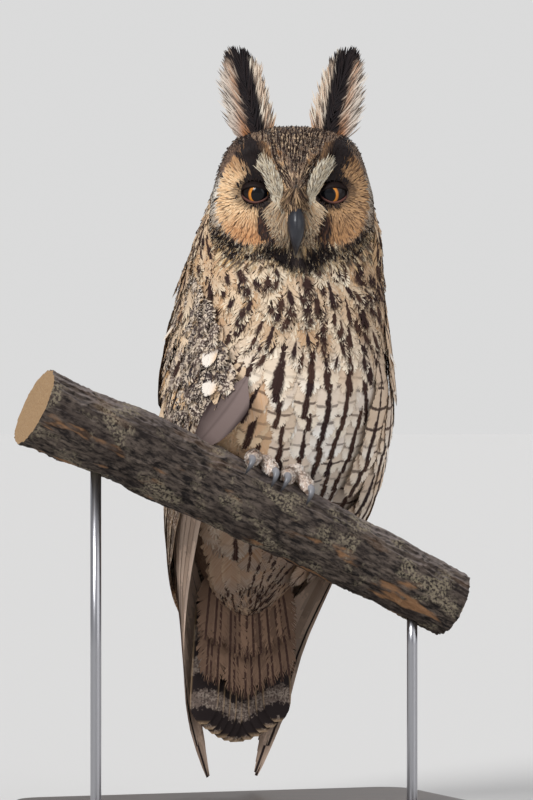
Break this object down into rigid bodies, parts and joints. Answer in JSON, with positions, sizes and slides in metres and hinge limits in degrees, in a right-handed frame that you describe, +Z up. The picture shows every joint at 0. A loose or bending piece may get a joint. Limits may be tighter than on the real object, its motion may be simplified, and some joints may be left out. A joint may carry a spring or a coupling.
{
  "type": "long-eared owl display model",
  "caption": "Life-size long-eared owl at rest on a short length of branch, facing forward with raised ear tufts, carried on a flat display base by slim rods.",
  "frame": {"origin": "Middle of the underside of the display base, on the surface it stands on.", "axes": "+Z up. The camera of the picture looks along +Y, and +X is to its right, so the owl's face looks towards -Y and its own left is towards +X."},
  "size_m": [0.2666, 0.2128, 0.4331],
  "materials": {
    "plumage": "soft feather vanes, matt",
    "toe_feathers": "short matt feathering",
    "horn": "slate horn, smooth with a soft gloss",
    "eye": "wet gloss, orange iris round a black pupil",
    "bark": "rough dark bark, matt",
    "stand_base": "satin dark lacquer",
    "stand_rod": "brushed"
  },
  "bodies": {
    "root": {"bill_lower": "horn", "bill_upper": "horn", "claw_left_1": "horn", "claw_left_2": "horn", "claw_left_3": "horn", "claw_left_4": "horn", "claw_right_1": "horn", "claw_right_2": "horn", "claw_right_3": "horn", "claw_right_4": "horn", "ear_tuft_left": "plumage", "ear_tuft_right": "plumage", "eye_left": "eye", "eye_right": "eye", "head": "plumage", "leg_left": "toe_feathers", "leg_right": "toe_feathers", "neck": "plumage", "perch": "bark", "stand_base": "stand_base", "stand_rod_1": "stand_rod", "stand_rod_2": "stand_rod", "tail": "plumage", "torso": "plumage", "wing_left": "plumage", "wing_right": "plumage"}
  },
  "joints": []
}
